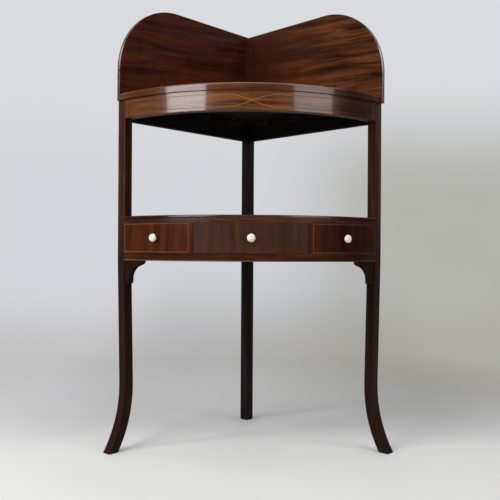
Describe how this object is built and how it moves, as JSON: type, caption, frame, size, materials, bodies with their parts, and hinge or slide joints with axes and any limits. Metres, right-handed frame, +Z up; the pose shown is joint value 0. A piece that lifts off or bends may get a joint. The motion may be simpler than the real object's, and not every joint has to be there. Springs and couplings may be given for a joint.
{
  "type": "corner washstand",
  "caption": "Bow-front corner washstand on three legs, with a slab top, splashbacks and a middle case with a drawer.",
  "frame": {"origin": "middle of the floor area, on the floor", "axes": "+Z up, the bow front faces -Y, the corner of the room is at +Y, +X to the right seen from the front"},
  "size_m": [0.6576, 0.4416, 1.0355],
  "materials": {
    "mahogany": "french polished",
    "dark_mahogany": "dark stained",
    "underside": "bare, darkened",
    "boxwood": "polished inlay",
    "deal": "bare",
    "drawer_lining": "bare",
    "bone": "turned and polished",
    "marble": "polished"
  },
  "bodies": {
    "stand": {"leg_front_left": "mahogany", "leg_front_right": "mahogany", "leg_back": "dark_mahogany", "frieze_front": "mahogany", "frieze_stringing": "boxwood", "frieze_rail_left": "dark_mahogany", "frieze_rail_right": "dark_mahogany", "frieze_glue_blocks": "deal", "top_board": "underside", "top_edge": "mahogany", "marble_slab": "marble", "splashback_left": "mahogany", "splashback_right": "mahogany", "splashback_fillet": "dark_mahogany", "splashback_dowels": "deal", "shelf_board": "mahogany", "case_top_rail": "mahogany", "case_bottom_rail": "mahogany", "case_bead": "boxwood", "case_bottom_board": "deal", "case_back_left": "dark_mahogany", "case_back_right": "dark_mahogany", "muntin_left": "mahogany", "muntin_right": "mahogany", "dummy_front_left": "mahogany", "dummy_front_right": "mahogany", "case_stringing": "boxwood", "dummy_knob_left": "bone", "dummy_knob_right": "bone", "drawer_guide_left": "deal", "drawer_guide_right": "deal", "drawer_kickers": "deal", "drawer_stops": "deal", "bracket_left": "mahogany", "bracket_right": "mahogany", "leg_stringing_left": "boxwood", "leg_stringing_right": "boxwood"},
    "drawer": {"drawer_front": "mahogany", "drawer_side_left": "drawer_lining", "drawer_side_right": "drawer_lining", "drawer_back": "drawer_lining", "drawer_bottom": "drawer_lining", "drawer_knob": "bone"}
  },
  "joints": [
    {"name": "drawer_slide", "type": "slide", "parent": "stand", "child": "drawer", "axis": [0, -1, 0], "range_m": [0, 0.22]}
  ]
}
